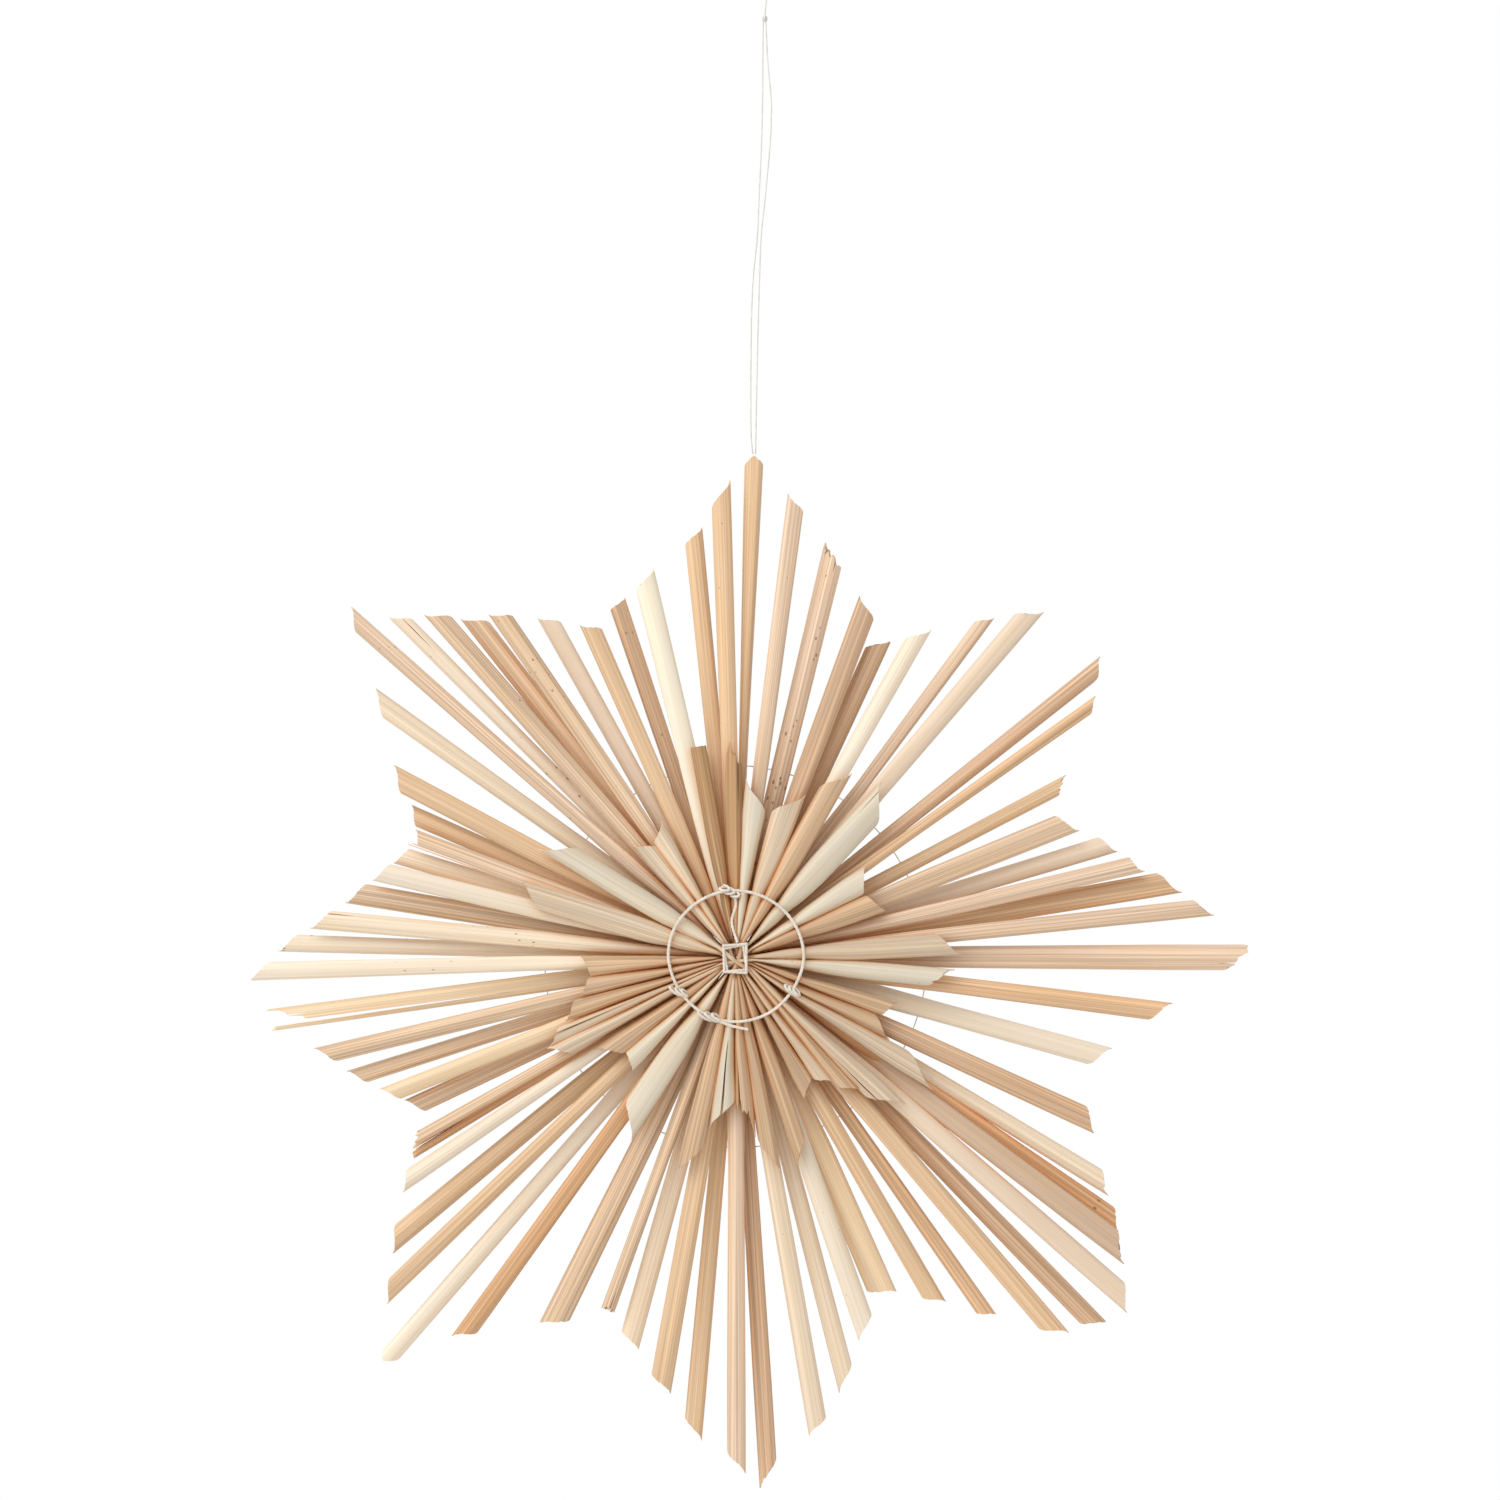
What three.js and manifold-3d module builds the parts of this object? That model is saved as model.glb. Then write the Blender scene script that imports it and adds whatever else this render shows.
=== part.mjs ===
// A straw star ornament that hangs on a thin thread: long and short straws fanned round a thread-bound hub
// and trimmed to a pointed star. Millimetres, +Z up. The star lies in the XZ plane and its front faces -Y.
// The origin is the top of the small loop that the ornament hangs by.
import * as THREE from "three";
import { mergeVertices } from "three/addons/utils/BufferGeometryUtils.js";
import Module from "manifold-3d";

const wasm = await Module();
wasm.setup();

// The star as a whole. Bearings are in degrees, clockwise from the top as seen from the front.
const hubDrop = 285; // from the hanging loop down to the hub
const strawThickness = 2.2; // a half-flattened straw at its full width
const squeeze = 0.8; // how much deeper a straw gets for each millimetre that its width is pressed in
const layerGap = 0.6; // clear room between the long straws' two layers at the rim
const shortGap = 0.4; // clear room between the short straws and the long ones behind them
const fanShare = 0.9; // how much of the room between two neighbours the straws may fill

// The star outline that the long straws are trimmed to, as [bearing, reach from the hub]: eight points, with
// a bend part of the way along each edge, because the edges were cut by hand.
const longOutline = [
  [0.2, 145.5], [9.5, 126], [21.3, 101], [32, 115], [44.5, 149.5], [52.9, 127], [62.8, 102], [72.9, 116],
  [86.2, 152], [95.4, 125], [107.3, 105], [119, 124], [131.7, 158], [145.5, 121], [155, 105.5], [166, 131.5],
  [176, 157], [186, 131], [198.5, 108], [211, 129], [219.8, 158], [231.5, 121.5], [241.3, 102.5],
  [252.8, 119.5], [266.3, 141], [276, 114.5], [288, 98], [299.5, 118], [311, 153.5], [326, 117],
  [336, 102.5], [350.5, 120.5],
];
// The smaller star that the short straws are trimmed to, as uneven as they were cut.
const shortOutline = [
  [11.5, 41], [34.5, 75], [61.5, 40.5], [89.5, 71], [109.8, 42], [125.5, 77], [146.5, 40], [164.5, 73],
  [178.3, 39.5], [191, 60], [200, 77], [212, 56.5], [226, 40], [242, 61], [262, 41.5], [291.7, 76],
  [323, 38.5], [351.5, 72],
];

// Each straw as the bearings of its two ends, and its width where nothing presses it in.
const longStraws = [
  [0.2, 193.6, 5.4], [5.6, 198.1, 4.2], [11.7, 204.6, 6.2], [18.6, 213.9, 5.5], [22.6, 219.1, 6.1],
  [27.6, 224.3, 5.1], [34.1, 228.6, 4.9], [38.6, 234.1, 5.2], [49.6, 237.1, 4.1], [52.9, 238.6, 3.6],
  [60.4, 243.3, 4.7], [66.1, 246.6, 6.1], [71.1, 250.6, 5.1], [74.9, 254.8, 5.3], [78.1, 260.4, 6.4],
  [82.1, 266.1, 5.2], [87.9, 270.1, 6.5], [95.4, 273.3, 5.8], [103.4, 277.6, 6.7], [112.8, 281.6, 6.1],
  [119.6, 284.9, 5.7], [122.8, 288.5, 5.3], [125.1, 291.8, 5.7], [129.3, 295.9, 5.7], [134.1, 303.6, 5.4],
  [138.1, 309.6, 5.5], [143.1, 313.4, 4.1], [148.1, 317, 5.2], [154.6, 320.7, 5.8], [158.9, 323.6, 5.7],
  [163.6, 329.1, 5.7], [168.3, 334.4, 5.8], [174.6, 339.6, 5.4], [178.1, 344.6, 6.2], [183.3, 352.4, 5.5],
  [188.1, 356.3, 5.7],
];
const shortStraws = [
  [5, 174.8, 5.8], [17, 183.2, 6.4], [27.5, 191, 5.2], [41, 211.5, 6.8], [57, 224.2, 5.9],
  [66.8, 231.8, 5.2], [84.5, 240.3, 5.4], [93.7, 244.6, 4.9], [106.6, 250.5, 4.5], [113.4, 257.2, 4.5],
  [119.6, 264.9, 5.4], [131.7, 285, 5.9], [137.5, 299.6, 5.1], [142.6, 318.7, 4.2], [149.4, 326.2, 5.4],
  [159.6, 348, 4.1], [168.5, 357.5, 4.1],
];

// The hub, where each straw is pressed flat and they all cross, each at a level of its own.
const flatStraw = 0.28; // both walls of one straw
const levelGap = 0.08;
const flatWidth = 0.66;
const crossingStride = 7; // neighbours lie this many levels apart where they cross
const hubHole = 0.6; // radius of the small hole that the straws leave at the very centre
const edgeTurn = 4.4; // where a straw turns from lying flat to standing on edge
const edgeStart = 5.2; // where it stands on edge, beside its neighbours
const edgeWidth = 0.5;
const edgeShare = 0.9; // how much of its layer's depth a straw on edge takes
const edgeGap = 0.16; // clear room between two straws on edge, at the binding
const threadRoom = 0.12; // clear room between a leg of the lashing and the straws on edge beside it
const settlePasses = 3000;
const fanStations = [24, 60]; // where a straw's width is set on its way out, from the hub
const shortStations = [20, 32];

// The threads.
const lashThread = 0.8;
const lashCorners = [31, 139.5, 216.5, 311];
const lashRadius = 4.95;
const legShare = 0.9; // a leg's thickness as a share of the thread's
const turnSpread = 1.3; // how much the thread's turns flatten out
const threadGap = 0.3; // clear room between a thread and the straws that it lies on
const frontRing = 19.5; // radius of the thread ring over the short straws
const frontThread = 0.9;
const frontKnots = [[353, 4.6], [118, 3.8], [237, 4.6], [201, 5.6]]; // bearing and length of each knot
const knotThickness = 2;
const tailRun = { x: 9.2, z: -4, sag: 0.6, share: 0.8 }; // the thread's free end at the last knot
const rearRing = 55.5;
const rearThread = 0.4;
const hangerThread = 0.45;
const strandGap = 0.2; // clear room between the hanger's two strands where they cross
const hangerKnot = { x: -0.5, z: -12.8, width: 2.1, depth: 2, height: 2.7 };
const eyeRadius = 2.6; // the small loop at the very top, to the thread's middle
const neckKnot = 1.7; // the knot that closes the loop
const eyeStart = -50; // where the eye's curve begins and how far it turns, in steps
const eyeStep = 35;
const eyeSteps = 9;
// The two strands of the hanger, from the knot down to the tip of the top straw, as [x, z] below the origin.
const leftStrand = [
  [-0.9, -14.5], [-0.7, -24.8], [-0.4, -36.3], [-0.3, -50.9], [-0.5, -64.4], [-0.6, -75.5], [-1.5, -90.4],
  [-1.4, -108.9], [-0.7, -131.2], [0.1, -139.1],
];
const rightStrand = [
  [-0.1, -14.5], [0.7, -24.8], [2.1, -36.3], [2.3, -43], [2.2, -49.3], [1.3, -64.4], [0.5, -75.5],
  [0.4, -88], [0.5, -109.7], [0.9, -139.1],
];

// Colours of straw and cotton.
const strawColours = { cream: 0xe4dabe, tan: 0xd6b892, gold: 0xd9a868, brown: 0xb98f66 };
const longTones = "tan tan gold brown tan cream tan cream brown tan gold gold tan tan brown brown cream tan "
  + "cream tan tan tan tan tan cream cream gold tan cream cream cream cream brown cream gold tan";
const shortTones = "cream cream tan cream cream tan tan cream gold tan tan tan gold cream cream gold tan";
const threadColour = 0xd8cdbe;

// What follows from the sizes above.
const degree = Math.PI / 180;
const levelPitch = flatStraw + levelGap;
const rimStep = strawThickness + layerGap;
const longReach = Math.max(...longOutline.map(([, reach]) => reach));
const shortReach = Math.max(...shortOutline.map(([, reach]) => reach));
const longStack = (longStraws.length / 2) * levelPitch;
const shortStack = shortStraws.length * levelPitch;
const longMiddle = rimStep / 2;

// How far in front of the top straw's tip a layer's middle lies, at the hub and at its rim.
const layers = {
  back: { hub: longMiddle - longStack / 2, rim: 0, reach: longReach, stack: longStack },
  front: { hub: longMiddle + longStack / 2, rim: rimStep, reach: longReach, stack: longStack },
};
layers.short = {
  hub: layers.front.hub + (longStack + shortStack) / 2,
  rim: layerMiddle(layers.front, shortReach) + strawThickness + shortGap,
  reach: shortReach,
  stack: shortStack,
};

function layerMiddle(layer, radius) {
  return THREE.MathUtils.lerp(layer.hub, layer.rim, radius / layer.reach);
}

// The thickness of a straw that is pressed in to a width, as far as the layers beside it leave room.
function thicknessAt(layer, radius, fullWidth, width) {
  const free = strawThickness + squeeze * (fullWidth - width);
  const frontMiddle = layerMiddle(layers.front, radius);
  const between = frontMiddle - layerMiddle(layers.back, radius);
  const before = layer === layers.short ? layerMiddle(layer, radius) - frontMiddle : between;
  return Math.min(free, Math.min(between, before) - shortGap, edgeShare * layer.stack);
}

function along(bearing) {
  return new THREE.Vector2(Math.sin(bearing * degree), Math.cos(bearing * degree));
}

function across(bearing) {
  return new THREE.Vector2(Math.cos(bearing * degree), -Math.sin(bearing * degree));
}

function wrap(angle) {
  return ((angle % 360) + 360) % 360;
}

// Moves bearings apart round the binding, until each has room beside its neighbours and the lashing's legs.
function settle(bearings) {
  const room = (edgeWidth + edgeGap) / edgeStart / degree;
  const keepOff = ((lashThread + edgeWidth) / 2 + threadRoom) / lashRadius / degree;
  const spread = bearings.slice();
  const count = spread.length;
  for (let pass = 0; pass < settlePasses; pass++) {
    for (let i = 0; i < count; i++) {
      const next = (i + 1) % count;
      const short = room - (spread[next] + (next ? 0 : 360) - spread[i]);
      if (short > 0) {
        spread[i] -= short / 2;
        spread[next] += short / 2;
      }
    }
    for (const corner of lashCorners) {
      for (let i = 0; i < count; i++) {
        const side = Math.sign(bearings[i] - corner) || 1;
        if (side * (spread[i] - corner) < keepOff) spread[i] = corner + side * keepOff;
      }
    }
  }
  return spread;
}

// How far out the line beside a ray is cut by an outline, at an offset across the ray.
function cutAt(outline, bearing, offset) {
  const direction = along(bearing);
  const start = across(bearing).multiplyScalar(offset);
  const corners = outline.map(([angle, reach]) => along(angle).multiplyScalar(reach));
  let best = 0;
  corners.forEach((corner, i) => {
    const edge = corners[(i + 1) % corners.length].clone().sub(corner);
    const facing = direction.x * edge.y - direction.y * edge.x;
    const toCorner = corner.clone().sub(start);
    const far = (toCorner.x * edge.y - toCorner.y * edge.x) / facing;
    const share = (toCorner.x * direction.y - toCorner.y * direction.x) / facing;
    if (far > 0 && share >= 0 && share <= 1) best = Math.max(best, far);
  });
  return best;
}

// A straw's section is a six-sided lens: each corner as a share of half the width and half the thickness.
const lens = [[-1, 0], [-0.5, 1], [0.5, 1], [1, 0], [0.5, -1], [-0.5, -1]];
const pointShare = 0.85; // how far off the straw's middle, in half widths, a point of the star still shows

// The lens at a trimmed tip. Where a point of the star falls on the straw, the nearer edge moves to it.
function tipLens(outline, bearing, width) {
  const reachAt = (i) => outline[(i + outline.length) % outline.length][1];
  const peaks = outline.filter(([, reach], i) => reach > reachAt(i - 1) && reach > reachAt(i + 1));
  const points = peaks.map(([angle, reach]) => along(angle).multiplyScalar(reach));
  const ahead = points.filter((p) => p.dot(along(bearing)) > 0);
  const peak = ahead.map((p) => (2 * p.dot(across(bearing))) / width).find((u) => Math.abs(u) < pointShare);
  if (peak === undefined) return lens;
  return lens.map(([u, v]) => (Math.abs(u) < 1 && u * peak >= 0 ? [peak, v] : [u, v]));
}

// A solid through rings of points, each ring with as many points: a rod with two ends, or a closed loop.
function skin(rings, loop = false) {
  const sides = rings[0].length;
  const positions = rings.flat().flatMap((p) => [p.x, p.y, p.z]);
  const last = (rings.length - 1) * sides;
  const faces = [];
  for (let k = 1; k + 1 < sides && !loop; k++) {
    faces.push(0, k + 1, k, last, last + k, last + k + 1);
  }
  for (let r = 0; r < rings.length - (loop ? 0 : 1); r++) {
    const here = r * sides;
    const next = ((r + 1) % rings.length) * sides;
    for (let k = 0; k < sides; k++) {
      const after = (k + 1) % sides;
      faces.push(here + k, here + after, next + after, here + k, next + after, next + k);
    }
  }
  const geometry = new THREE.BufferGeometry();
  geometry.setAttribute("position", new THREE.Float32BufferAttribute(positions, 3));
  geometry.setIndex(faces);
  return geometry;
}

// One section of a straw, square to its own run, with its middle at a point of the star's plane.
function section(middle, sideways, width, depth, thickness) {
  return lens.map(([u, v]) => {
    const p = middle.clone().addScaledVector(sideways, (u * width) / 2);
    return new THREE.Vector3(p.x, -(depth + (v * thickness) / 2), p.y);
  });
}

// The rings of one half of a straw, from its trimmed tip in to the hub. The section always runs clockwise.
function halfStraw(ray, layer, outline, stations) {
  const { bearing, settled, room, width, level } = ray;
  const ring = (angle, radius, wide, depth, thickness) =>
    section(along(angle).multiplyScalar(radius), across(angle), wide, depth, thickness);
  const widthAt = (radius) => Math.min(width, fanShare * room * degree * radius);
  const tipWidth = widthAt(cutAt(outline, bearing, 0));
  const tip = tipLens(outline, bearing, tipWidth).map(([u, v]) => {
    const offset = (u * tipWidth) / 2;
    const radius = cutAt(outline, bearing, offset);
    const p = along(bearing).multiplyScalar(radius).addScaledVector(across(bearing), offset);
    return new THREE.Vector3(p.x, -(layerMiddle(layer, radius) + (v * strawThickness) / 2), p.y);
  });
  const fanned = stations.toReversed().map((radius) => {
    const wide = widthAt(radius);
    return ring(bearing, radius, wide, layerMiddle(layer, radius), thicknessAt(layer, radius, width, wide));
  });
  const onEdge = layerMiddle(layer, edgeStart);
  const deep = thicknessAt(layer, edgeStart, width + layer.stack, edgeWidth);
  return [
    tip,
    ...fanned,
    ring(settled, edgeStart, edgeWidth, onEdge, deep),
    ring(settled, edgeTurn, edgeWidth, level, flatStraw),
  ];
}

// Every straw of one layer, as closed meshes.
function buildLayer(straws, layer, outline, stations) {
  const rays = straws.flatMap(([near, far, width], straw) => [
    { straw, bearing: near, width },
    { straw, bearing: far, width },
  ]).sort((a, b) => a.bearing - b.bearing);
  const settled = settle(rays.map((ray) => ray.bearing));
  rays.forEach((ray, i) => {
    const gapAfter = wrap(rays[(i + 1) % rays.length].bearing - ray.bearing);
    const gapBefore = wrap(ray.bearing - rays[(i + rays.length - 1) % rays.length].bearing);
    ray.room = Math.min(gapAfter, gapBefore);
    ray.settled = settled[i];
    const order = (ray.straw * crossingStride) % straws.length;
    ray.level = layer.hub + (order - (straws.length - 1) / 2) * levelPitch;
  });
  return straws.map((_, straw) => {
    const [near, far] = rays.filter((ray) => ray.straw === straw);
    const first = halfStraw(near, layer, outline, stations);
    const second = halfStraw(far, layer, outline, stations);
    const turned = (ring) => [3, 2, 1, 0, 5, 4].map((k) => ring[k]);
    const run = along(far.settled).sub(along(near.settled)).normalize();
    const sideways = new THREE.Vector2(run.y, -run.x);
    const bulge = hubHole + flatWidth / 2;
    const lean = Math.sign(along(near.settled).add(along(far.settled)).dot(sideways)) || 1;
    const bend = sideways.clone().multiplyScalar(lean * bulge);
    const middle = section(bend, sideways, flatWidth, near.level, flatStraw);
    return skin([...first.map(turned), middle, ...second.toReversed()]);
  });
}

// A round tube along a curve, with flat ends.
function tube(curve, diameter, steps, sides = 8) {
  const outline = new THREE.Shape().absarc(0, 0, diameter / 2, 0, 2 * Math.PI);
  const options = { extrudePath: curve, steps, bevelEnabled: false, curveSegments: sides / 2 };
  return new THREE.ExtrudeGeometry(outline, options);
}

function solid(geometry) {
  const bare = geometry.clone();
  bare.deleteAttribute("normal");
  bare.deleteAttribute("uv");
  const merged = mergeVertices(bare, 1e-5);
  const vertProperties = Float32Array.from(merged.attributes.position.array);
  const triVerts = Uint32Array.from(merged.index.array);
  return new wasm.Manifold(new wasm.Mesh({ numProp: 3, vertProperties, triVerts }));
}

function fuse(geometries) {
  const mesh = geometries.map(solid).reduce((whole, next) => whole.add(next)).getMesh();
  const geometry = new THREE.BufferGeometry();
  geometry.setAttribute("position", new THREE.Float32BufferAttribute(mesh.vertProperties, 3));
  geometry.setIndex(Array.from(mesh.triVerts));
  return geometry;
}

// A point at a bearing and a radius from the hub, at a depth in front of the top straw's tip.
function place(bearing, radius, depth) {
  const p = along(bearing).multiplyScalar(radius);
  return new THREE.Vector3(p.x, -depth, p.y);
}

// The square lashing: a turn in front, a turn behind, and four legs between the straws that join them.
function lashing() {
  const thick = lashThread / 2;
  const front = layers.short.hub + layers.short.stack / 2 + threadGap + thick;
  const back = layers.back.hub - layers.back.stack / 2 - threadGap - thick;
  const round = Array.from({ length: 6 }, (_, k) => [Math.cos(60 * k * degree), Math.sin(60 * k * degree)]);
  const turn = (depth) => skin(lashCorners.map((corner) =>
    round.map(([u, v]) => place(corner, lashRadius + turnSpread * thick * u, depth + thick * v))), true);
  const legs = lashCorners.map((corner) =>
    new THREE.CylinderGeometry(legShare * thick, legShare * thick, front - back, 6)
      .translate(...place(corner, lashRadius, (front + back) / 2).toArray()));
  return fuse([turn(front), turn(back), ...legs]);
}

// A ring of thread round the hub, at a depth in front of the top straw's tip.
function threadRing(radius, diameter, sides, steps, depth) {
  const ring = new THREE.TorusGeometry(radius, diameter / 2, sides, steps);
  return ring.rotateX(Math.PI / 2).translate(0, -depth, 0);
}

// The thread ring that ties the short straws down, with its knots and its free end.
function frontRingThread() {
  const depth = layerMiddle(layers.short, frontRing)
    + thicknessAt(layers.short, frontRing, longStack, edgeWidth) / 2 + threadGap + frontThread / 2;
  const ring = threadRing(frontRing, frontThread, 5, 36, depth);
  const knotDepth = depth + (knotThickness - frontThread) / 2;
  const knots = frontKnots.map(([bearing, length]) => {
    const ball = new THREE.SphereGeometry(0.5, 6, 4).scale(length, knotThickness, knotThickness);
    return ball.rotateY(bearing * degree).translate(...place(bearing, frontRing, knotDepth).toArray());
  });
  const [bearing] = frontKnots.at(-1);
  const start = place(bearing, frontRing, depth);
  const end = start.clone().add(new THREE.Vector3(tailRun.x, 0, tailRun.z));
  const middle = start.clone().lerp(end, 0.5).add(new THREE.Vector3(0, 0, -tailRun.sag));
  const tail = tube(new THREE.CatmullRomCurve3([start, middle, end]), frontThread * tailRun.share, 4, 6);
  return fuse([ring, ...knots, tail]);
}

function rearRingThread() {
  const depth = layerMiddle(layers.back, rearRing) - strawThickness - threadGap - rearThread / 2;
  return threadRing(rearRing, rearThread, 4, 48, depth);
}

function strand(points, side) {
  const y = side * (hangerThread + strandGap) / 2;
  const curve = new THREE.CatmullRomCurve3(points.map(([x, z]) => new THREE.Vector3(x, y, z)));
  return tube(curve, hangerThread, 16);
}

function knotBall(width, depth, height, x, z) {
  return new THREE.SphereGeometry(0.5, 8, 6).scale(width, depth, height).translate(x, 0, z);
}

// The loop that goes over a hook: a stem up from the knot, and an eye that closes in a knot on the stem.
function hangerLoop() {
  const eyeMiddle = -hangerThread / 2 - eyeRadius;
  const neck = eyeMiddle - eyeRadius - neckKnot / 4;
  const foot = hangerKnot.z + hangerKnot.height / 2 + threadGap;
  const eyeAngles = Array.from({ length: eyeSteps }, (_, i) => eyeStart + i * eyeStep);
  const points = [
    [hangerKnot.x, foot],
    [hangerKnot.x * 0.6, (foot + neck) / 2],
    [0, neck],
    ...eyeAngles.map((angle) => [
      eyeRadius * Math.cos(angle * degree),
      eyeMiddle + eyeRadius * Math.sin(angle * degree),
    ]),
    [-neckKnot / 8, neck + neckKnot / 8],
  ];
  const curve = new THREE.CatmullRomCurve3(points.map(([x, z]) => new THREE.Vector3(x, 0, z)));
  return fuse([tube(curve, hangerThread, 24), knotBall(neckKnot, neckKnot, neckKnot, 0, neck)]);
}

const ornament = new THREE.Group();
const star = new THREE.Group();
star.position.z = -hubDrop;
ornament.add(star);

function add(parent, name, geometry, colour, roughness) {
  const material = new THREE.MeshStandardMaterial({ color: colour, roughness, metalness: 0 });
  const mesh = new THREE.Mesh(geometry, material);
  mesh.name = name;
  parent.add(mesh);
}

function addStraws(prefix, geometries, tones) {
  const names = tones.split(" ");
  geometries.forEach((geometry, i) => {
    add(star, `${prefix}_${String(i + 1).padStart(2, "0")}`, geometry, strawColours[names[i]], 0.55);
  });
}

// The long straws lie in the back and the front layer by turns.
const layerStraws = (odd) => longStraws.filter((_, i) => i % 2 === odd);
const backStraws = buildLayer(layerStraws(0), layers.back, longOutline, fanStations);
const frontStraws = buildLayer(layerStraws(1), layers.front, longOutline, fanStations);
addStraws("long_straw", backStraws.flatMap((back, i) => [back, frontStraws[i]]), longTones);
addStraws("short_straw", buildLayer(shortStraws, layers.short, shortOutline, shortStations), shortTones);

add(star, "centre_lashing", lashing(), threadColour, 0.8);
add(star, "front_ring_thread", frontRingThread(), threadColour, 0.8);
add(star, "rear_ring_thread", rearRingThread(), threadColour, 0.8);

const { x: knotX, z: knotZ, width: knotWidth, depth: knotDepth, height: knotHeight } = hangerKnot;
add(ornament, "hanger_thread_left", strand(leftStrand, 1), threadColour, 0.8);
add(ornament, "hanger_thread_right", strand(rightStrand, -1), threadColour, 0.8);
add(ornament, "hanger_knot", knotBall(knotWidth, knotDepth, knotHeight, knotX, knotZ), threadColour, 0.8);
add(ornament, "hanger_loop", hangerLoop(), threadColour, 0.8);

export default ornament;
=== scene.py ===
import math
import random

import bmesh
import bpy
from mathutils import Matrix, Vector, noise


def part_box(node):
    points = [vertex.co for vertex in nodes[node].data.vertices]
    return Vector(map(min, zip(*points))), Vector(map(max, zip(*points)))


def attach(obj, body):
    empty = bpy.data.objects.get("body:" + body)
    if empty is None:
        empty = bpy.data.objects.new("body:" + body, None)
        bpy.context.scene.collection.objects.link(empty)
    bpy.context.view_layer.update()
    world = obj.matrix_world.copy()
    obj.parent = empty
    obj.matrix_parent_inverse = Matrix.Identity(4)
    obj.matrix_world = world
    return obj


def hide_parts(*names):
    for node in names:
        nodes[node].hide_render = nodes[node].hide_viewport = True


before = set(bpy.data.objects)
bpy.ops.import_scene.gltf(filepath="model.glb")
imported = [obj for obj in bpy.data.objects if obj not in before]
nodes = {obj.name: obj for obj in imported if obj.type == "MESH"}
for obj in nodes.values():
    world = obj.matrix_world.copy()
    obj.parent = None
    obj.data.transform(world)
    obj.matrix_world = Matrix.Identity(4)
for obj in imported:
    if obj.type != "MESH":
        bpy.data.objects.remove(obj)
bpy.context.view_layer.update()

# A straw star ornament on a thin thread, dressed over its CAD solids. Metres, +Z up, the front faces -Y.
mm = 0.001
hub = Vector((0, 0, -285 * mm))
front = Vector((0, -1, 0))
sharpAngle = 60  # degrees between two faces, from which the edge of a thread shows as one
threadStep = 0.3 * mm  # between one section of a thread and the next


def fromHex(code):
    # an sRGB hex colour as linear values
    channels = [int(code[i:i + 2], 16) / 255 for i in (1, 3, 5)]
    return [c / 12.92 if c <= 0.04045 else ((c + 0.055) / 1.055) ** 2.4 for c in channels]


def along(bearing):
    # the direction at a bearing, clockwise from the top as seen from the front
    return Vector((math.sin(math.radians(bearing)), 0, math.cos(math.radians(bearing))))


def across(direction):
    # a quarter turn clockwise from it
    return Vector((direction.z, 0, -direction.x)).normalized()


def ramp(value, start, run):
    # 0 up to the start, and from there evenly up to 1
    return min(1, max(0, (value - start) / run))


def bell(value, place, spread):
    return math.exp(-((value - place) / spread) ** 2)


def addNode(tree, kind, settings, links=()):
    # one shader node, with its settings and what feeds its sockets
    node = tree.nodes.new(kind)
    for key, value in settings.items():
        if isinstance(key, str) and hasattr(node, key):
            setattr(node, key, value)
        else:
            node.inputs[key].default_value = value
    for socket, source in dict(links).items():
        tree.links.new(source, node.inputs[socket])
    return node


def newMaterial(name):
    material = bpy.data.materials.new(name)
    material.use_nodes = True
    material.node_tree.nodes.clear()
    return material, material.node_tree


print("camera")
cameraSetup = {
    "target": Vector((2.1, 0, -224.9)) * mm,
    "distance": 2.0,
    "frameWidth": 435 * mm,  # what the photograph's frame takes in at the star
    "roll": 1.86,  # degrees; the star hangs a little clockwise in the photograph
    "sensor": 36,
    "clipEnd": 20,
}


def makeCamera(setup):
    data = bpy.data.cameras.new("camera")
    data.sensor_width = setup["sensor"]
    data.lens = data.sensor_width * setup["distance"] / setup["frameWidth"]
    data.clip_end = setup["clipEnd"]
    camera = bpy.data.objects.new("camera", data)
    bpy.context.scene.collection.objects.link(camera)
    right = Matrix.Rotation(math.radians(-setup["roll"]), 3, "Y") @ Vector((1, 0, 0))
    up = right.cross(front) * -1
    turn = Matrix((right, up, front)).transposed().to_4x4()
    camera.matrix_world = Matrix.Translation(setup["target"] + front * setup["distance"]) @ turn
    bpy.context.scene.camera = camera


makeCamera(cameraSetup)


# Cotton thread, twisted from two spun plies: matt, off-white with a grey cast, and with fine fibres that
# follow the twist.
cottonSetup = {
    "fibre": 0.12 * mm,  # real fibres are finer, drawn as coarse as they need to show
    "patch": 2.5 * mm,
    "lines": (9, 0.6, 1),  # how close the lines of fibre lie round the thread, along it and between threads
    "lineScale": 1.6,
    "contrast": 2.2,
    "bump": 0.6,
    "relief": 0.05 * mm,
    "roughness": 0.85,
    "sheen": 0.25,  # loose fibres catch light at the edges
    "greige": ("#F3ECE2", "#CFC2B1"),  # the unbleached thread that binds the star
    "bleached": ("#F0EEEA", "#C9C5BF"),  # the thinner thread that it hangs by
}


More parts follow.
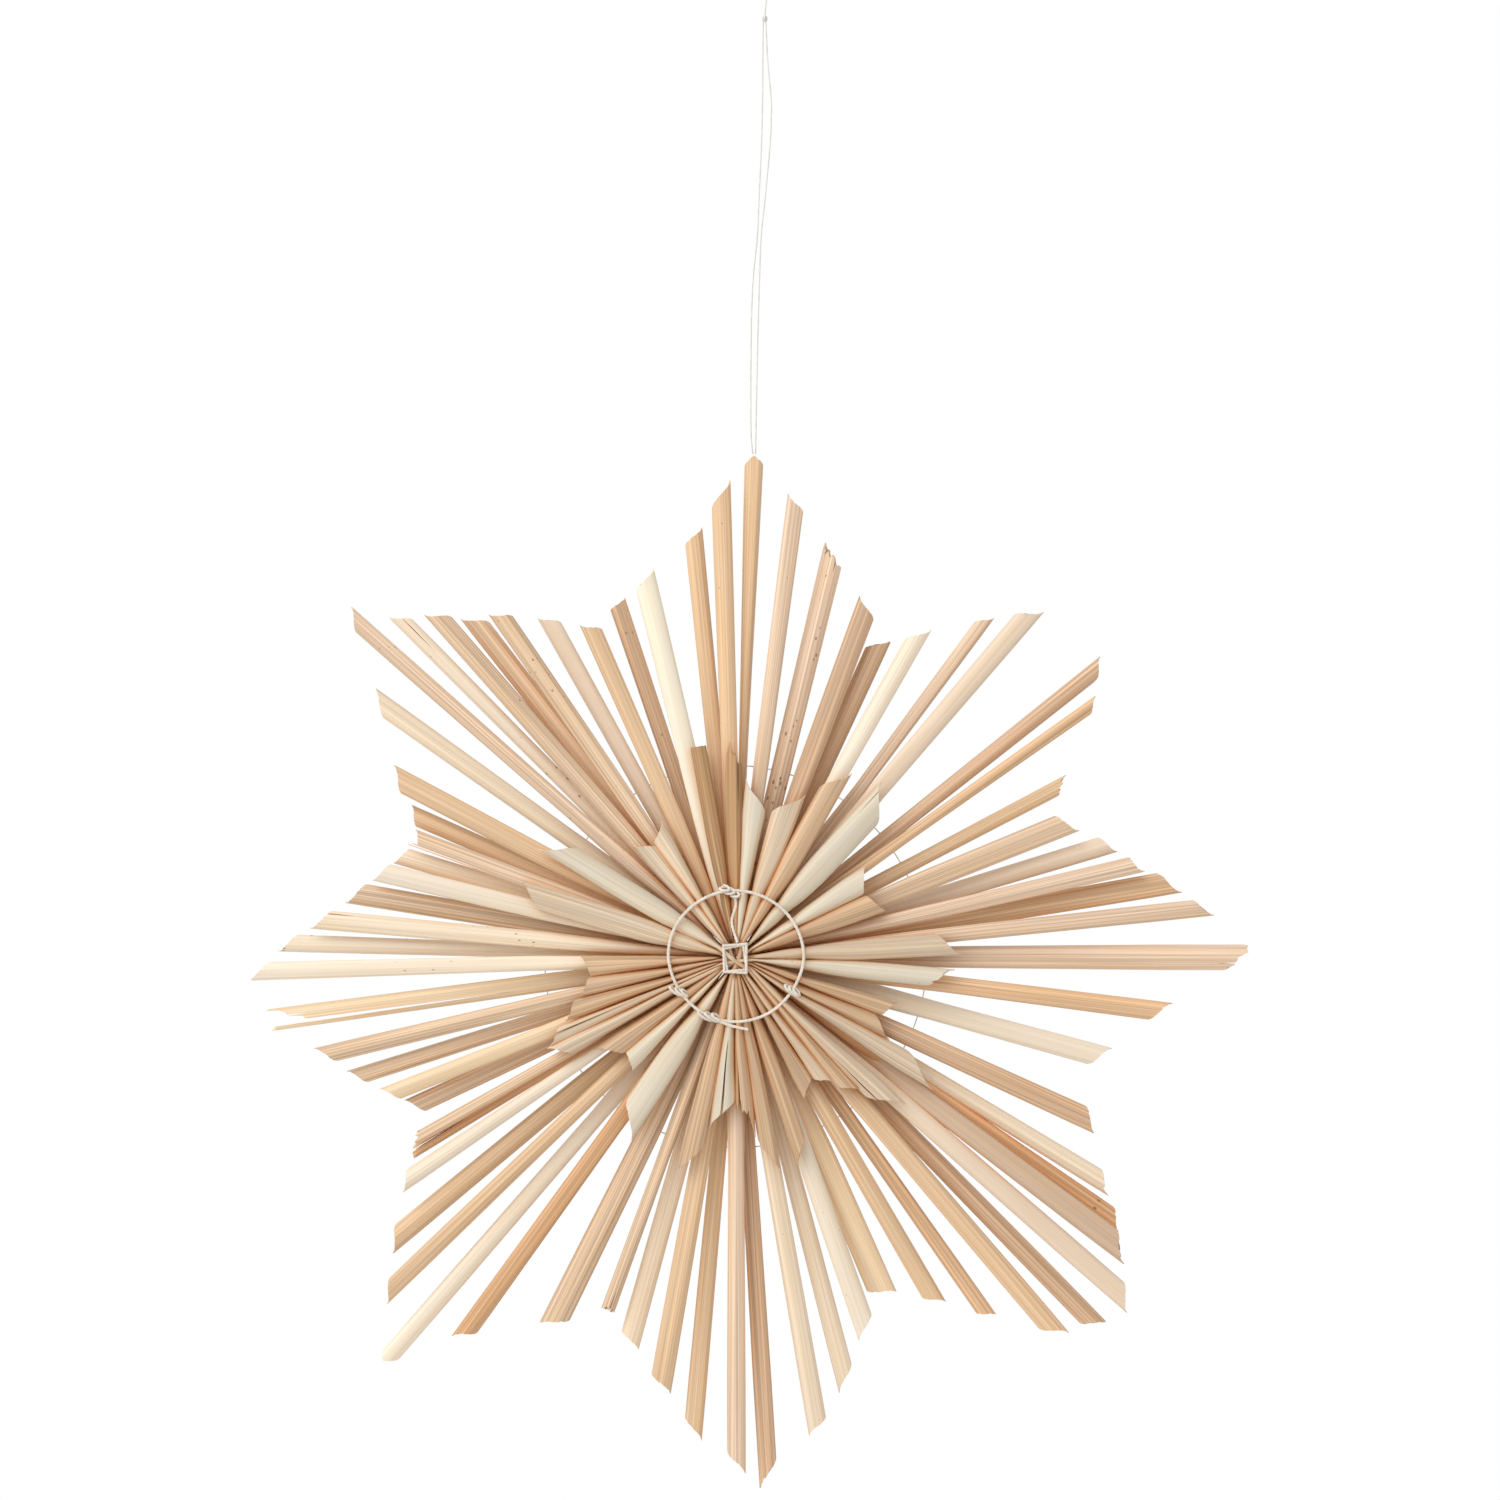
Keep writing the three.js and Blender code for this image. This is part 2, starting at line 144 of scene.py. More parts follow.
def makeCotton(name, setup, finish):
    material, tree = newMaterial(name)
    light, dark = ((*fromHex(code), 1) for code in setup[finish])
    grain = addNode(tree, "ShaderNodeAttribute", {"attribute_name": "grain"}).outputs["Vector"]
    place = addNode(tree, "ShaderNodeTexCoord", {}).outputs["Object"]
    lines = addNode(tree, "ShaderNodeMapping", {"Scale": setup["lines"]}, {"Vector": grain}).outputs["Vector"]
    fibres = addNode(
        tree, "ShaderNodeTexNoise", {"Scale": setup["lineScale"], "Detail": 3},
        {"Vector": lines}).outputs["Fac"]
    fuzz = addNode(
        tree, "ShaderNodeTexNoise", {"Scale": 1 / setup["fibre"], "Detail": 2},
        {"Vector": place}).outputs["Fac"]
    patches = addNode(
        tree, "ShaderNodeTexNoise", {"Scale": 1 / setup["patch"], "Detail": 2},
        {"Vector": place}).outputs["Fac"]
    blend = addNode(
        tree, "ShaderNodeMath", {"operation": "MULTIPLY"}, {0: fibres, 1: patches}).outputs["Value"]
    blend = addNode(
        tree, "ShaderNodeMath", {"operation": "MULTIPLY", 1: setup["contrast"]}, {0: blend}).outputs["Value"]
    colour = addNode(
        tree, "ShaderNodeMix", {"data_type": "RGBA", 6: light, 7: dark}, {0: blend}).outputs[2]
    relief = addNode(tree, "ShaderNodeMath", {"operation": "ADD"}, {0: fibres, 1: fuzz}).outputs["Value"]
    bump = addNode(
        tree, "ShaderNodeBump", {"Strength": setup["bump"], "Distance": setup["relief"]},
        {"Height": relief}).outputs["Normal"]
    shader = addNode(
        tree, "ShaderNodeBsdfPrincipled",
        {"Roughness": setup["roughness"], "Sheen Weight": setup["sheen"], "IOR": 1.5},
        {"Base Color": colour, "Normal": bump})
    addNode(tree, "ShaderNodeOutputMaterial", {}, {"Surface": shader.outputs["BSDF"]})
    return material


bindingCotton = makeCotton("unbleached_spun_cotton", cottonSetup, "greige")
hangingCotton = makeCotton("bleached_spun_cotton", cottonSetup, "bleached")


def smoothPath(corners, step, closed=False):
    # evenly spaced points on a Catmull-Rom curve through the corners
    count = len(corners)
    between = 24  # points from one corner to the next, before they are spaced

    def corner(i):
        return corners[i % count] if closed else corners[min(max(i, 0), count - 1)]

    fine = []
    for i in range(count if closed else count - 1):
        before, start, end, after = (corner(i + k) for k in (-1, 0, 1, 2))
        for k in range(between):
            t = k / between
            fine.append(0.5 * ((2 * start) + (end - before) * t
                               + (2 * before - 5 * start + 4 * end - after) * t ** 2
                               + (3 * start - before - 3 * end + after) * t ** 3))
    fine.append(fine[0].copy() if closed else corners[-1].copy())
    lengths = [0]
    for a, b in zip(fine, fine[1:]):
        lengths.append(lengths[-1] + (b - a).length)
    steps = max(4, round(lengths[-1] / step))
    points, k = [], 0
    for i in range(steps if closed else steps + 1):
        goal = lengths[-1] * i / steps
        while k < len(fine) - 2 and lengths[k + 1] < goal:
            k += 1
        share = (goal - lengths[k]) / max(lengths[k + 1] - lengths[k], 1e-9)
        points.append(fine[k].lerp(fine[k + 1], share))
    return points


def sweep(bm, stations, segments, placeVertex):
    # extrudes a circle from station to station; each vertex keeps the angle it began with
    angle = bm.verts.layers.float["angle"]
    ring = bmesh.ops.create_circle(bm, segments=segments, radius=1)["verts"]
    for vert in ring:
        vert[angle] = math.atan2(vert.co.y, vert.co.x)
    edges = list(dict.fromkeys(edge for vert in ring for edge in vert.link_edges))
    firstLoop = edges
    for index, station in enumerate(stations):
        if index:
            made = bmesh.ops.extrude_edge_only(bm, edges=edges)["geom"]
            ring = [item for item in made if isinstance(item, bmesh.types.BMVert)]
            inRing = set(ring)
            edges = [item for item in made
                     if isinstance(item, bmesh.types.BMEdge) and set(item.verts) <= inRing]
        for vert in ring:
            placeVertex(vert, station)
    return firstLoop, edges


def newMesh():
    bm = bmesh.new()
    bm.verts.layers.float.new("angle")
    bm.verts.layers.float_vector.new("grain")
    return bm


def putInOrder(bm):
    # an extrusion makes its edges and faces in an order that changes from run to run
    bm.verts.index_update()
    count = len(bm.verts)

    def place(item):
        indices = [vert.index for vert in item.verts]
        return min(indices) * count + max(indices)

    bm.edges.sort(key=place)
    bm.faces.sort(key=place)


def spinThread(bm, path, diameter, pitch, closed=False, seed=0.0, segments=8):
    # a two-ply thread along a path: its section has two lobes that turn once in a pitch
    waist = 0.74  # how narrow it is between the lobes, as a share of the diameter
    angle = bm.verts.layers.float["angle"]
    grain = bm.verts.layers.float_vector["grain"]
    count = len(path)
    step = (path[1] - path[0]).length
    turns = step * count / pitch
    if closed:
        turns = round(turns)
    side = Vector((0, 0, 1)) if abs((path[1] - path[0]).normalized().z) < 0.9 else Vector((1, 0, 0))
    stations = []
    for i, point in enumerate(path):
        before = path[i - 1] if closed or i else point
        after = path[(i + 1) % count] if closed or i + 1 < count else point
        tangent = (after - before).normalized()
        side = (side - tangent * side.dot(tangent)).normalized()
        stations.append((i, point, side.copy(), tangent.cross(side)))

    def placeVertex(vert, station):
        i, point, sideways, other = station
        theta = vert[angle]
        lobe = waist + (1 - waist) * math.cos(theta - math.pi * 2 * turns * i / count) ** 2
        reach = diameter / 2 * lobe
        vert.co = point + (sideways * math.cos(theta) + other * math.sin(theta)) * reach
        vert[grain] = Vector((abs(theta) / math.pi, i * step / pitch, seed))

    first, last = sweep(bm, stations, segments, placeVertex)
    if closed:
        bmesh.ops.bridge_loops(bm, edges=first + last)
    else:
        bmesh.ops.holes_fill(bm, edges=first + last, sides=segments)


def finishPiece(bm, name, material, replaced=()):
    # the mesh as a smoothly shaded object on the part's one body
    bmesh.ops.recalc_face_normals(bm, faces=bm.faces)
    putInOrder(bm)
    mesh = bpy.data.meshes.new(name)
    bm.to_mesh(mesh)
    bm.free()
    for face in mesh.polygons:
        face.use_smooth = True
    mesh.set_sharp_from_angle(angle=math.radians(sharpAngle))
    mesh.materials.append(material)
    piece = bpy.data.objects.new(name, mesh)
    bpy.context.scene.collection.objects.link(piece)
    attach(piece, "root")
    if replaced:
        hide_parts(*replaced)
    return piece


print("hanging thread")
hangerSetup = {
    "thread": 0.45 * mm,
    "pitch": 1.3 * mm,
    "gap": 0.2 * mm,  # between the two strands
    # each strand from the top straw's tip up to the knot, as x and z in millimetres
    "left": [
        (0.1, -139.1), (-0.7, -131.2), (-1.4, -108.9), (-1.5, -90.4), (-0.6, -75.5), (-0.5, -64.4),
        (-0.3, -50.9), (-0.4, -36.3), (-0.7, -24.8), (-0.9, -14.5),
    ],
    "right": [
        (0.9, -139.1), (0.5, -109.7), (0.4, -88), (0.5, -75.5), (1.3, -64.4), (2.2, -49.3), (2.3, -43),
        (2.1, -36.3), (0.7, -24.8), (-0.1, -14.5),
    ],
    "rightEnd": (-0.35, -13.4),  # where the right strand goes into the knot
    "rightEndDepth": -0.25,
    # above the knot: the single thread, then the loop, an arc whose angles in degrees run from the right
    "stem": [(-0.5, -12.8), (-0.4, -9.6), (0.05, -6.2)],
    "eyeMiddle": -2.825,
    "eyeRadius": 2.6,
    "eyeAngles": range(-52, 215, 32),
    "eyeEnd": (-0.62, -5.5),
    "knotAxis": (0.12, 0, 1),
    "knotStep": 0.2 * mm,
    "knot": {"x": -0.5, "z": -12.8, "radius": 0.62, "height": 1.5, "turns": 3.2},
    "neck": {"x": -0.25, "z": -5.75, "radius": 0.52, "height": 0.7, "turns": 2.4},
}


def wrapPath(middle, axis, radius, height, turns, lean=0.25):
    # a few turns of thread round an axis, a little askew, as a tied knot has them
    ends = 0.86  # the knot's radius at its two ends, as a share of that at its middle
    perTurn = 10
    side = axis.orthogonal().normalized()
    other = axis.cross(side)
    points = []
    steps = int(turns * perTurn)
    for i in range(steps + 1):
        theta = 2 * math.pi * turns * i / steps
        rise = height * (i / steps - 0.5) + lean * radius * math.sin(theta)
        swell = radius * (ends + (1 - ends) * math.sin(math.pi * i / steps))
        points.append(middle + axis * rise + (side * math.cos(theta) + other * math.sin(theta)) * swell)
    return points


def makeHanger(setup):
    def strand(points, y):
        return [Vector((x, y, z)) * mm for x, z in points]

    depth = (setup["thread"] + setup["gap"]) / 2 / mm
    eye = [
        (setup["eyeRadius"] * math.cos(math.radians(a)),
         setup["eyeMiddle"] + setup["eyeRadius"] * math.sin(math.radians(a)))
        for a in setup["eyeAngles"]
    ]
    upper = strand(setup["stem"] + eye + [setup["eyeEnd"]], 0)
    rightEnd = strand([setup["rightEnd"]], setup["rightEndDepth"])
    routes = {
        "hanger_thread_left": strand(setup["left"], depth) + upper,
        "hanger_thread_right": strand(setup["right"], -depth) + rightEnd,
    }
    axis = Vector(setup["knotAxis"]).normalized()
    for name, knot in (("hanger_knot", setup["knot"]), ("hanger_neck_knot", setup["neck"])):
        bm = newMesh()
        middle = Vector((knot["x"], 0, knot["z"])) * mm
        turns = wrapPath(middle, axis, knot["radius"] * mm, knot["height"] * mm, knot["turns"])
        path = smoothPath(turns, setup["knotStep"])
        spinThread(bm, path, setup["thread"], setup["pitch"], seed=knot["z"])
        replaced = [name] if name == "hanger_knot" else []
        finishPiece(bm, name, hangingCotton, replaced)
    for name, route in routes.items():
        bm = newMesh()
        path = smoothPath(route, threadStep)
        spinThread(bm, path, setup["thread"], setup["pitch"], seed=len(route))
        left = name == "hanger_thread_left"
        replaced = [name, "hanger_loop"] if left else [name]
        piece = finishPiece(bm, name, hangingCotton, replaced)


makeHanger(hangerSetup)


# Wheat straw, cut from the stalk and dried: a waxy skin over fine ribs that run its length, so it shines
# softly across the ribs, and has brown specks where it weathered. Where other straw lies close its colour
# is darkened and turned orange: painted shade and glow, for the light that shines through and between straws.
strawSetup = {
    # the grain of each pattern across and along the straw; from rib to rib it's two grains, the real half
    # millimetre
    "rib": (0.25 * mm, 80 * mm),
    "vein": (0.75 * mm, 130 * mm),
    "mottle": (2.4 * mm, 40 * mm),
    "speck": (1.6 * mm, 3 * mm),
    "speckPlaces": (9 * mm, 16 * mm),
    # for each level the pattern it follows, the stretch of it that counts, and what the two ends of that
    # become: pale ribs and dark grooves, then warmer patches, the places of specks and the gloss of the ribs
    "levels": {
        "rib": ("rib", 0.38, 0.62, 0.76, 1.14),
        "vein": ("vein", 0.36, 0.64, 0.84, 1.10),
        "warmth": ("mottle", 0.35, 0.75, 0.0, 1.0),
        "places": ("speckPlaces", 0.47, 0.63, 0.0, 0.22),
        "roughness": ("rib", 0.3, 0.7, 0.56, 0.42),
    },
    "speckColour": "#7A5636",
    "speckStrength": 0.7,
    "warm": (1.0, 0.94, 0.85),
    # painted shade and glow: the tint that darkens the colour and turns it orange where other straw lies
    # close
    "shade": (1.1, 0.85, 0.64),
    "shadeReach": 3.6 * mm,
    "shadeFull": 0.3,  # how open a place still is where the shade is full, and where it ends
    "shadeEnd": 0.95,
    "bump": 0.8,
    "relief": 0.07 * mm,
}


def makeStrawMaterial(name, setup):
    material, tree = newMaterial(name)
    tone = addNode(tree, "ShaderNodeAttribute", {"attribute_name": "tone"}).outputs["Color"]
    grain = addNode(tree, "ShaderNodeAttribute", {"attribute_name": "grain"}).outputs["Vector"]
    wear = addNode(tree, "ShaderNodeAttribute", {"attribute_name": "wear"}).outputs["Vector"]
    wear = addNode(tree, "ShaderNodeSeparateXYZ", {}, {"Vector": wear}).outputs
    fields = {}
    for key, detail in (("rib", 2), ("vein", 1), ("mottle", 3), ("speckPlaces", 1), ("speck", 0)):
        scale = (mm / setup[key][0], mm / setup[key][1], 1)
        place = addNode(tree, "ShaderNodeMapping", {"Scale": scale}, {"Vector": grain}).outputs["Vector"]
        if key == "speck":
            fields[key] = addNode(
                tree, "ShaderNodeTexVoronoi", {"Scale": 1}, {"Vector": place}).outputs["Distance"]
        else:
            fields[key] = addNode(
                tree, "ShaderNodeTexNoise", {"Scale": 1, "Detail": detail}, {"Vector": place}).outputs["Fac"]

    levels = {}
    for key, (field, low, high, start, end) in setup["levels"].items():
        levels[key] = addNode(
            tree, "ShaderNodeMapRange", {"From Min": low, "From Max": high, "To Min": start, "To Max": end},
            {"Value": fields[field]}).outputs["Result"]
    lines = addNode(
        tree, "ShaderNodeMath", {"operation": "MULTIPLY"},
        {0: levels["rib"], 1: levels["vein"]}).outputs["Value"]
    lines = addNode(tree, "ShaderNodeCombineColor", {}, {0: lines, 1: lines, 2: lines}).outputs["Color"]
    colour = addNode(
        tree, "ShaderNodeMix", {"data_type": "RGBA", "blend_type": "MULTIPLY", 7: (*setup["warm"], 1)},
        {0: levels["warmth"], 6: tone}).outputs[2]
    colour = addNode(
        tree, "ShaderNodeMix", {"data_type": "RGBA", "blend_type": "MULTIPLY"},
        {0: wear["X"], 6: colour, 7: lines}).outputs[2]
    size = addNode(
        tree, "ShaderNodeMath", {"operation": "MULTIPLY"},
        {0: levels["places"], 1: wear["Y"]}).outputs["Value"]
    specks = addNode(
        tree, "ShaderNodeMath", {"operation": "LESS_THAN"}, {0: fields["speck"], 1: size}).outputs["Value"]
    specks = addNode(
        tree, "ShaderNodeMath", {"operation": "MULTIPLY", 1: setup["speckStrength"]},
        {0: specks}).outputs["Value"]
    colour = addNode(
        tree, "ShaderNodeMix", {"data_type": "RGBA", 7: (*fromHex(setup["speckColour"]), 1)},
        {0: specks, 6: colour}).outputs[2]
    # painted shade and glow: occlusion within the reach multiplies the colour by the shade tint, in place of
    # shadow between straws and light shining through them
    openness = addNode(
        tree, "ShaderNodeAmbientOcclusion", {"samples": 4, "Distance": setup["shadeReach"]}).outputs["AO"]
    paintedShadeWeight = addNode(
        tree, "ShaderNodeMapRange",
        {"From Min": setup["shadeFull"], "From Max": setup["shadeEnd"], "To Min": 1.0, "To Max": 0.0},
        {"Value": openness}).outputs["Result"]
    colour = addNode(
        tree, "ShaderNodeMix", {"data_type": "RGBA", "blend_type": "MULTIPLY", 7: (*setup["shade"], 1)},
        {0: paintedShadeWeight, 6: colour}).outputs[2]
    bump = addNode(
        tree, "ShaderNodeBump", {"Strength": setup["bump"], "Distance": setup["relief"]},
        {"Height": fields["rib"]}).outputs["Normal"]
    shader = addNode(
        tree, "ShaderNodeBsdfPrincipled", {"IOR": 1.5},
        {"Base Color": colour, "Roughness": levels["roughness"], "Normal": bump})
    addNode(tree, "ShaderNodeOutputMaterial", {}, {"Surface": shader.outputs["BSDF"]})
    return material


wheatStraw = makeStrawMaterial("dried_wheat_straw", strawSetup)

print("straws")
straws = {
    "wall": 0.24 * mm,
    "wallShare": 0.42,  # the most of a pressed straw's depth that its wall takes
    "columns": 26,
    "sharp": 70,  # degrees
    # out to each reach from the hub, how far one section of a straw stands from the next
    "spacings": ((6 * mm, 1.4 * mm), (30 * mm, 3.2 * mm), (math.inf, 5 * mm)),
    "easings": 2,  # how often their run is smoothed
    "cutRoom": 1.5 * mm,  # from the deepest point of a cut in to the last whole section
    "cutPeak": 0.4 * mm,  # how far a cut's third mark stands out before it counts
    # a Run is where something starts to grow or fade with the reach, and over how far; a Place is the middle
    # and the spread of something that comes and goes; both in millimetres from the middle of the hub
    "wider": 0.35 * mm,  # how much fuller a straw is at the hub than its solid
    "widerRun": (0, 26),
    "swell": 0.55,  # in front, where nothing lies on a straw
    "swellRun": {"long": (66, 22), "short": (6, 22)},
    "swellBehind": 0.3,
    "swellBehindRun": (80, 20),
    "outerRun": (40, 20),  # where a long end's own lift, turn and width set in
    "taper": 0.14,  # how much narrower a long straw gets from its tip in to the short ones
    "taperRun": (65, 60),
    # short straws bulge inside the thread ring, it pinches them, and they open out beyond it
    "bulge": 0.2,
    "bulgePlace": (13.5, 4.5),
    "pinch": 0.08,
    "pinchPlace": (19.5, 1.8),
    "opening": 0.13,
    "openingRun": (20, 5),
    "tilt": 6,  # degrees, the most that an end is turned about its own length
    "tiltRun": (0, 30),
    "shingle": 16,  # degrees, the same where straws crowd and overlap like shingles
    "shinglePlace": (22, 11),
    "boxy": (0.95, 1.08),  # from a rounder section to one with softer corners
    "brightness": (0.95, 1.03),
    "fewSpecks": 0.35,
    "girth": 1.25,  # half the way round a straw, as a share of its width
    "dent": 0.16 * mm,
    "dentFull": 2 * mm,  # straws flatter than this have shallower dents
    "dentGrain": (0.05, 0.8),  # for each millimetre along it, and each radian round it
    "teeth": 5,  # how finely a torn end is notched
    "tornMore": 0.2,  # above 0, more of such an end is torn back than not
    "strawStep": (7.3, 3.1),  # from straw to straw through the noise of the skin and that of the tears
    "faceStep": 4,  # and from the front of a torn end to its back
    # palest, cream, light, peach, golden, tan, brown, dark, shell, yellow, drab and orange;
    # capitals are the greyer tones of the short ones
    "tones": {
        "w": "#F1E8D5", "c": "#EFE0CB", "l": "#EEDAC0", "p": "#E7CAAE", "g": "#E1BF99", "t": "#DFC1A2",
        "b": "#D5B190", "d": "#E0B991", "s": "#E6D1BA", "y": "#EDD3B0", "k": "#CFB398", "o": "#DBAC7F",
        "C": "#DACFBB", "L": "#D8C3A9", "G": "#CDAD8C", "B": "#BA9369",
    },
    "ribbed": {
        "w": 0.2, "c": 0.35, "l": 0.5, "p": 0.9, "g": 0.7, "t": 1.0, "b": 1.0, "d": 0.9,
        "s": 0.25, "y": 0.5, "k": 0.4, "o": 0.9,
        "C": 0.3, "L": 0.7, "G": 0.9, "B": 1.0,
    },
    # one letter for each end, clockwise from the top
    "long": "gppbbcpsbdgtspdppdcbloksbgdgycllbpgglttocggcdttyttyccltclpgglpctttsgbwgg",
    "short": "CLGCCGLCGGLLGLGGGGCGCCGLLGGGLCLLBB",
    # split ends: place across the straw from -1 to 1, length from the tip and gap in millimetres, and whether
    # it goes right through
    "slits": {
        "long": {
            3: ((0.3, 6, 0.5, False),), 17: ((0.35, 9, 0.5, True), (-0.3, 5, 0.4, True)),
            38: ((-0.2, 8, 0.4, False),), 45: ((0.2, 22, 0.7, True),), 54: ((0.4, 12, 0.4, False),),
            63: ((0.1, 14, 0.4, False),), 51: ((-0.38, 62, 1.2, True), (0.1, 8, 0.5, True)),
            58: ((-0.61, 40, 0.5, True),),
        },
        "short": {
            4: ((-0.5, 14, 0.3, False),), 12: ((0.3, 22, 0.5, False),), 18: ((0.3, 16, 0.6, False),),
            19: ((0.05, 24, 0.7, False),), 25: ((0.1, 34, 0.5, False),), 34: ((0.35, 15, 0.6, False),),
        },
    },
    # how far a frayed end is torn back, in millimetres; the others are cut clean
    "frays": {
        "long": {3: 3, 11: 2, 17: 2, 23: 1.5, 33: 1.5, 38: 3, 45: 6, 46: 4, 51: 2},
        "short": {18: 7, 34: 5, 8: 2},
    },
    "clean": 0.4,
    # ends that the star's outline alone doesn't give: place across the straw from -1 to 1, and reach in
    # millimetres
    "cuts": {
        "long": {
            2: ((-1, 135.2), (1, 130.1)), 4: ((-1, 110.7), (1, 105.3)),
            5: ((-1, 96.9), (0.9, 102.1), (1, 101)),
            6: ((-1, 103.8), (1, 110.5)), 7: ((-1, 118.8), (1, 123.7)), 8: ((-1, 127.2), (1, 134.3)),
            9: ((-1, 137), (0.5, 133.2), (1, 130.4)), 12: ((-1, 100.5), (1, 106.1)),
            13: ((-1, 110.3), (1, 114.9)), 14: ((-1, 117.1), (0, 118.6), (1, 121)),
            15: ((-1, 123.8), (1, 130.9)), 16: ((-1, 132.5), (1, 139.2)),
            17: ((-1, 148), (-0.37, 149.3), (-0.05, 146.2), (0.35, 144.5), (1, 141)),
            18: ((-1, 127.3), (1, 120.3)), 19: ((-1, 112.5), (1, 106.4)), 20: ((-1, 109.8), (1, 115.8)),
            21: ((-1, 122.3), (0.3, 126.2), (0.35, 125.5), (1, 128.8)), 22: ((-1, 131.1), (1, 136.8)),
            23: ((-1, 135.1), (1, 143.4)), 25: ((-1, 150.3), (-0.75, 150.7), (1, 145.4)),
            26: ((-1, 145.5), (1, 138.5)), 27: ((-1, 128.4), (1, 124.4)), 28: ((-1, 116.9), (1, 112.1)),
            29: ((-1, 107.7), (1, 104)), 30: ((-1, 110.2), (1, 116.8)), 31: ((-1, 122.3), (1, 130.2)),
            32: ((-1, 135.5), (1, 140.3)), 33: ((-1, 145.7), (1, 155.2)), 34: ((-1, 149.9), (1, 142.7)),
            35: ((-1, 140.9), (1, 133.9)), 36: ((-1, 128), (1, 122.7)), 38: ((-1, 109.2), (1, 108.7)),
            39: ((-1, 115.7), (1, 120.6)), 40: ((-1, 131.6), (1, 137.2)),
            41: ((-1, 151.7), (0.2, 155.6), (1, 152.9)),
            42: ((-1, 142.6), (1, 136.4)), 43: ((-1, 131.9), (1, 125.1)), 47: ((-1, 100.2), (1, 105)),
            48: ((-1, 105), (1, 110.1)), 49: ((-1, 112.5), (1, 117.8)),
            50: ((-1, 118.9), (-0.6, 120.3), (1, 125.2)),
            51: ((-1, 136.5), (-0.4, 135), (-0.36, 126), (0, 127), (0.1, 131), (0.6, 133), (0.68, 137),
                 (1, 137)),
            52: ((-1, 139.5), (-0.8, 141), (1, 134.5)), 53: ((-1, 133.2), (1, 126.8)),
            58: ((-1, 100.4), (-0.62, 100.2), (-0.6, 97.4), (1, 99.9)), 59: ((-1, 100), (1, 103.9)),
            60: ((-1, 107.7), (1, 113.7)), 61: ((-1, 123.1), (1, 130.7)), 62: ((-1, 144.5), (1, 151)),
            63: ((-1, 141), (1, 135.4)), 64: ((-1, 134.2), (1, 128.1)), 65: ((-1, 126.7), (1, 120.3)),
            66: ((-1, 122.4), (1, 117.8)), 69: ((-1, 106.8), (1, 109)), 70: ((-1, 109.6), (1, 115.2)),
            71: ((-1, 120), (1, 125.3)), 72: ((-1, 129.7), (1, 138.6)),
        },
        "short": {
            1: ((-1, 52.2), (1, 42.2)), 2: ((-1, 43), (1, 51.2)), 8: ((-1, 63.6), (1, 55.1)),
            9: ((-1, 48.6), (1, 44.6)), 11: ((-1, 56), (1, 69)),
            18: ((-1, 54.6), (-0.6, 50), (-0.3, 46.3), (1, 42.4)), 30: ((-1, 65.4), (1, 54.6)),
            31: ((-1, 44.2), (1, 39.1)), 32: ((-1, 40), (1, 44.9)), 33: ((-1, 62), (1, 62)),
            34: ((-1, 55), (-0.3, 62.7), (0.3, 58), (1, 54)),
        },
    },
    # how much wider than its solid a long end is, and how far it's turned clockwise, in degrees
    "widths": {
        2: 1.22, 4: 1.12, 6: 1.12, 7: 0.86, 8: 1.18, 9: 1.18, 12: 1.18, 13: 1.16, 15: 1.08, 17: 1.15,
        20: 1.08, 23: 1.25, 24: 1.1, 29: 1.35, 30: 1.1, 34: 0.8, 36: 1.15, 37: 1.2, 39: 1.18, 40: 0.92,
        41: 0.8, 43: 1.28, 47: 1.25, 48: 0.86, 53: 0.78, 60: 1.18, 62: 0.78,
    },
    "turns": {
        7: 0.45, 13: 0.25, 14: 0.2, 15: 0.35, 17: 0.3, 25: -0.3, 26: -0.4, 52: 0.35, 53: -0.2, 65: -0.4,
    },
    # the weathered ones, which have the most brown specks
    "specked": {
        "long": {
            3: 1, 22: 1, 52: 0.6, 53: 0.9, 54: 1, 57: 0.5, 62: 0.6, 63: 0.9, 64: 0.8, 66: 0.7, 69: 0.7,
            72: 0.5,
        },
        "short": {8: 0.6, 12: 0.6, 31: 0.5},
    },
    "lifts": {22: -4.4, 23: 4.4},  # long ends that lie behind or before their neighbours, in millimetres
}


def measureRing(points, direction):
    # the middle, width and depth of one ring of a straw's solid, from points round the hub
    side = across(direction)
    offsets = [p.dot(side) for p in points]
    depths = [p.y for p in points]
    reach = sum(p.dot(direction) for p in points) / len(points)
    middle = direction * reach + side * (min(offsets) + max(offsets)) / 2
    middle.y = (min(depths) + max(depths)) / 2
    wide, deep = (max(values) - min(values) for values in (offsets, depths))
    return {"middle": middle, "side": side, "wide": wide, "deep": deep}


def readStraw(node):
    # the rings of a straw's solid, from the cut inwards, for each of its two halves
    sides, ringCount = 6, 5
    bm = bmesh.new()
    bm.from_mesh(node.data)
    bmesh.ops.remove_doubles(bm, verts=bm.verts[:], dist=0.001 * mm)
    points = [vert.co - hub for vert in bm.verts]
    bm.free()
    flat = [Vector((p.x, 0, p.z)) for p in points]
    near = max(flat, key=lambda p: p.length)
    far = max((p for p in flat if p.dot(near) < 0), key=lambda p: p.length)
    halves = []
    for end in (near, far):
        ordered = sorted(points, key=lambda p: -p.dot(end))
        rings = [ordered[i * sides:(i + 1) * sides] for i in range(ringCount + 1)]
        headings = [Vector((sum(p.x for p in ring), 0, sum(p.z for p in ring))).normalized()
                    for ring in rings]
        measured = [measureRing(*pair) for pair in zip(rings[:ringCount], headings)]
        halves.append({"heading": headings[0], "rings": measured, "tip": rings[0], "centre": rings[-1]})
    halves.sort(key=lambda half: math.degrees(math.atan2(half["heading"].x, half["heading"].z)) % 360)
    run = (halves[0]["rings"][-1]["middle"] - halves[1]["rings"][-1]["middle"]).normalized()
    run.y = 0
    centre = measureRing(halves[0]["centre"], run.normalized())
    return halves, centre


